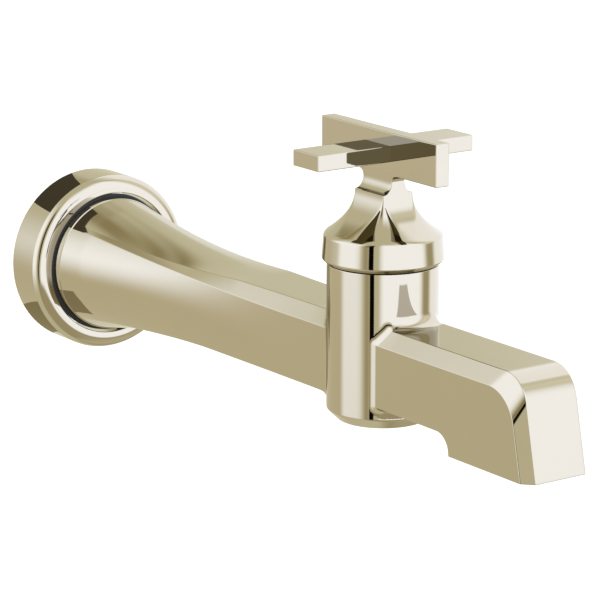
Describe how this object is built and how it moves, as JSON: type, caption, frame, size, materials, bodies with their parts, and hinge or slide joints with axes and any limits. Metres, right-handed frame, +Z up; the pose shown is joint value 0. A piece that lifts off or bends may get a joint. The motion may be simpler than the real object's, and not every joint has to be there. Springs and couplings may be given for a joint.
{
  "type": "wall mounted bath faucet",
  "caption": "Wall mounted bath faucet: round stepped flange, trumpet arm, upright valve barrel with a quarter-turn cross handle, and a chamfered spout that turns down to an aerator.",
  "frame": {"origin": "centre of the flange's back face, in the plane of the wall, where the supply nipple comes out", "axes": "+Z up, +Y into the wall, so the spout points along -Y; the valve's axis is upright at y = -0.1905"},
  "size_m": [0.0668, 0.2849, 0.1124],
  "materials": {
    "polished_nickel": "polished nickel plate on brass, a warm mirror",
    "brass": "machined",
    "stainless_steel": "satin",
    "alumina_ceramic": "lapped alumina",
    "black_rubber": "matte",
    "grey_foam": "closed-cell foam",
    "white_plastic": "moulded",
    "dark_plastic": "moulded"
  },
  "bodies": {
    "faucet_body": {"wall_flange": "polished_nickel", "flange_gasket": "grey_foam", "inlet_shank": "brass", "shank_o_ring_rear": "black_rubber", "shank_o_ring_front": "black_rubber", "flange_grip_ring": "black_rubber", "arm_set_screw": "stainless_steel", "rear_arm": "polished_nickel", "valve_barrel": "polished_nickel", "front_spout": "polished_nickel", "aerator_housing": "white_plastic", "flow_straightener": "white_plastic", "aerator_screen": "stainless_steel", "aerator_washer": "black_rubber", "cartridge_shell": "brass", "cartridge_o_ring": "black_rubber", "cartridge_seat_seal": "black_rubber", "fixed_disc": "alumina_ceramic", "bonnet_nut": "brass", "handle_glide_ring": "dark_plastic"},
    "handle": {"moving_disc": "alumina_ceramic", "cartridge_stem": "brass", "stem_o_ring_lower": "black_rubber", "stem_o_ring_upper": "black_rubber", "stem_snap_ring": "stainless_steel", "handle_hub": "polished_nickel", "handle_set_screw": "stainless_steel", "spline_sleeve": "brass", "standing_bar": "polished_nickel", "flat_bar": "polished_nickel"}
  },
  "joints": [
    {"name": "handle_turn", "type": "hinge", "parent": "faucet_body", "child": "handle", "pos_m": [0, -0.1905, 0.034], "axis": [0, 0, 1], "range_deg": [0, 90]}
  ]
}
